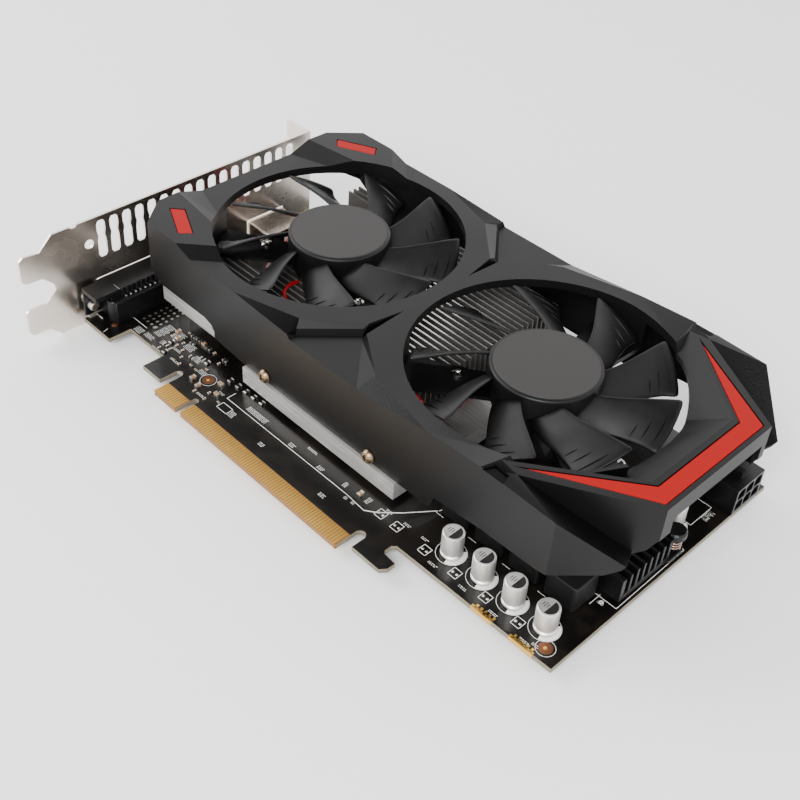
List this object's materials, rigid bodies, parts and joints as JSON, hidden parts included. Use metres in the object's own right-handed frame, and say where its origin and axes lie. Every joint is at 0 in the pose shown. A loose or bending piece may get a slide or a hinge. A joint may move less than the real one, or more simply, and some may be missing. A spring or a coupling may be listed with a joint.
{
  "type": "graphics card",
  "caption": "Dual-slot graphics card with a faceted black shroud, two open axial fans, a finned aluminium cooler and a slotted steel bracket with video ports.",
  "frame": {"origin": "middle of the overall box in X and Y, at the lowest level of the bracket (the card lies on its back, fans up)", "axes": "+X from the slot bracket towards the free tail, +Y from the edge connector towards the upper long edge, +Z out of the component side, the way the fans face"},
  "size_m": [0.214, 0.1316, 0.0408],
  "materials": {
    "board": "satin near-black solder mask",
    "bracket": "bright nickel plate",
    "connector_plastic": "moulded black",
    "port_metal": "nickel plate",
    "shroud_plastic": "satin moulded, fine grain on some facets",
    "red_trim": "satin moulded",
    "bronze_screw": "bronze-toned plate",
    "heatsink_metal": "brushed base, plain fins",
    "black_metal": "black anodised",
    "spring_metal": "bright wire",
    "package": "laminate",
    "header_plastic": "moulded natural nylon",
    "wire_red": "glossy insulation",
    "wire_black": "satin insulation",
    "capacitor_can": "matt drawn can",
    "ferrite": "pressed iron powder",
    "fan_plastic": "satin gloss moulded",
    "magnet": "bonded magnet",
    "steel": "bright",
    "bearing_bronze": "sintered",
    "core_iron": "stacked sheet"
  },
  "bodies": {
    "card": {"accent_bar_lower": "red_trim", "accent_bar_upper": "red_trim", "capacitor_1": "capacitor_can", "capacitor_2": "capacitor_can", "capacitor_3": "capacitor_can", "capacitor_4": "capacitor_can", "capacitor_5": "capacitor_can", "capacitor_6": "capacitor_can", "chevron_trim": "red_trim", "choke_1": "ferrite", "choke_2": "ferrite", "choke_3": "ferrite", "choke_4": "ferrite", "displayport_insert": "connector_plastic", "displayport_shell": "port_metal", "dvi_body": "connector_plastic", "dvi_jack_nut_1": "port_metal", "dvi_jack_nut_2": "port_metal", "dvi_shell": "port_metal", "fan1_base": "fan_plastic", "fan1_bearing": "bearing_bronze", "fan1_screw_1": "steel", "fan1_screw_2": "steel", "fan1_screw_3": "steel", "fan1_stator": "core_iron", "fan2_base": "fan_plastic", "fan2_bearing": "bearing_bronze", "fan2_lead_red": "wire_red", "fan2_screw_1": "steel", "fan2_screw_2": "steel", "fan2_screw_3": "steel", "fan2_stator": "core_iron", "fan_header": "header_plastic", "fan_lead_black": "wire_black", "fan_lead_red": "wire_red", "gpu_package": "package", "hdmi_insert": "connector_plastic", "hdmi_shell": "port_metal", "heatsink": "heatsink_metal", "io_bracket": "bracket", "pcb": "board", "power_connector": "connector_plastic", "push_pin_spring": "spring_metal", "shroud": "shroud_plastic", "shroud_screw_1": "bronze_screw", "shroud_screw_2": "bronze_screw", "vrm_heatsink": "black_metal"},
    "fan1": {"fan1_rotor": "fan_plastic", "fan1_magnet_ring": "magnet", "fan1_shaft": "steel"},
    "fan2": {"fan2_rotor": "fan_plastic", "fan2_magnet_ring": "magnet", "fan2_shaft": "steel"},
    "push_pin": {"push_pin": "connector_plastic"}
  },
  "joints": [
    {"name": "fan1_spin", "type": "hinge", "parent": "card", "child": "fan1", "pos_m": [-0.03948, 0.0189, 0.0337], "axis": [0, 0, 1], "continuous": true},
    {"name": "fan2_spin", "type": "hinge", "parent": "card", "child": "fan2", "pos_m": [0.04852, 0.0189, 0.0337], "axis": [0, 0, 1], "continuous": true},
    {"name": "push_pin_press", "type": "slide", "parent": "card", "child": "push_pin", "axis": [0, 0, 1], "range_m": [-0.0015, 0], "stiffness_N_per_m": 1500, "springref_m": 0.002, "deforming": ["push_pin_spring"]}
  ]
}
